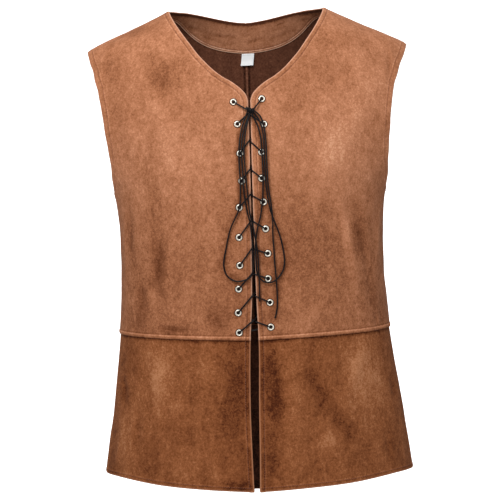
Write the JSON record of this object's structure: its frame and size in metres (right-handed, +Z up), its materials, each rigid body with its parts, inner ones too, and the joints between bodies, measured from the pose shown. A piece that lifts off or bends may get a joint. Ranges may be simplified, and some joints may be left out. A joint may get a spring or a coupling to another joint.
{
  "type": "pirate vest",
  "caption": "Sleeveless hip-length costume vest of mottled brown suede cloth, with a corded lace-up front, a waist seam, a flared skirt and a tied bow.",
  "frame": {"origin": "midway between the two high shoulder points, where the wearer's neck and shoulders hold the garment", "axes": "+Z up the body, -Y out of the laced front, +X towards the wearer's left side"},
  "size_m": [0.4766, 0.2703, 0.7468],
  "materials": {
    "suede": "mottled brushed suede cloth, matt, with a soft nap",
    "suede_reverse": "dark brown-red brushed cloth, matt",
    "eyelet_metal": "satin, warm silver, lightly worn",
    "lace": "round braided cord with a faint shine",
    "label": "plain woven tape, bare"
  },
  "bodies": {
    "root": {"front_bodice_left": "suede", "front_bodice_right": "suede", "back_bodice_left": "suede", "back_bodice_right": "suede", "front_skirt_left": "suede", "front_skirt_right": "suede", "back_skirt": "suede", "back_neck_facing": "suede_reverse", "label": "label", "eyelet_left_01": "eyelet_metal", "eyelet_left_02": "eyelet_metal", "eyelet_left_03": "eyelet_metal", "eyelet_left_04": "eyelet_metal", "eyelet_left_05": "eyelet_metal", "eyelet_left_06": "eyelet_metal", "eyelet_left_07": "eyelet_metal", "eyelet_left_08": "eyelet_metal", "eyelet_left_09": "eyelet_metal", "eyelet_left_10": "eyelet_metal", "eyelet_right_01": "eyelet_metal", "eyelet_right_02": "eyelet_metal", "eyelet_right_03": "eyelet_metal", "eyelet_right_04": "eyelet_metal", "eyelet_right_05": "eyelet_metal", "eyelet_right_06": "eyelet_metal", "eyelet_right_07": "eyelet_metal", "eyelet_right_08": "eyelet_metal", "eyelet_right_09": "eyelet_metal", "eyelet_right_10": "eyelet_metal", "lace_laced": "lace", "bow_knot": "lace", "bow_loop_left": "lace", "bow_loop_right": "lace", "bow_end_left": "lace", "bow_end_right": "lace"}
  },
  "joints": []
}
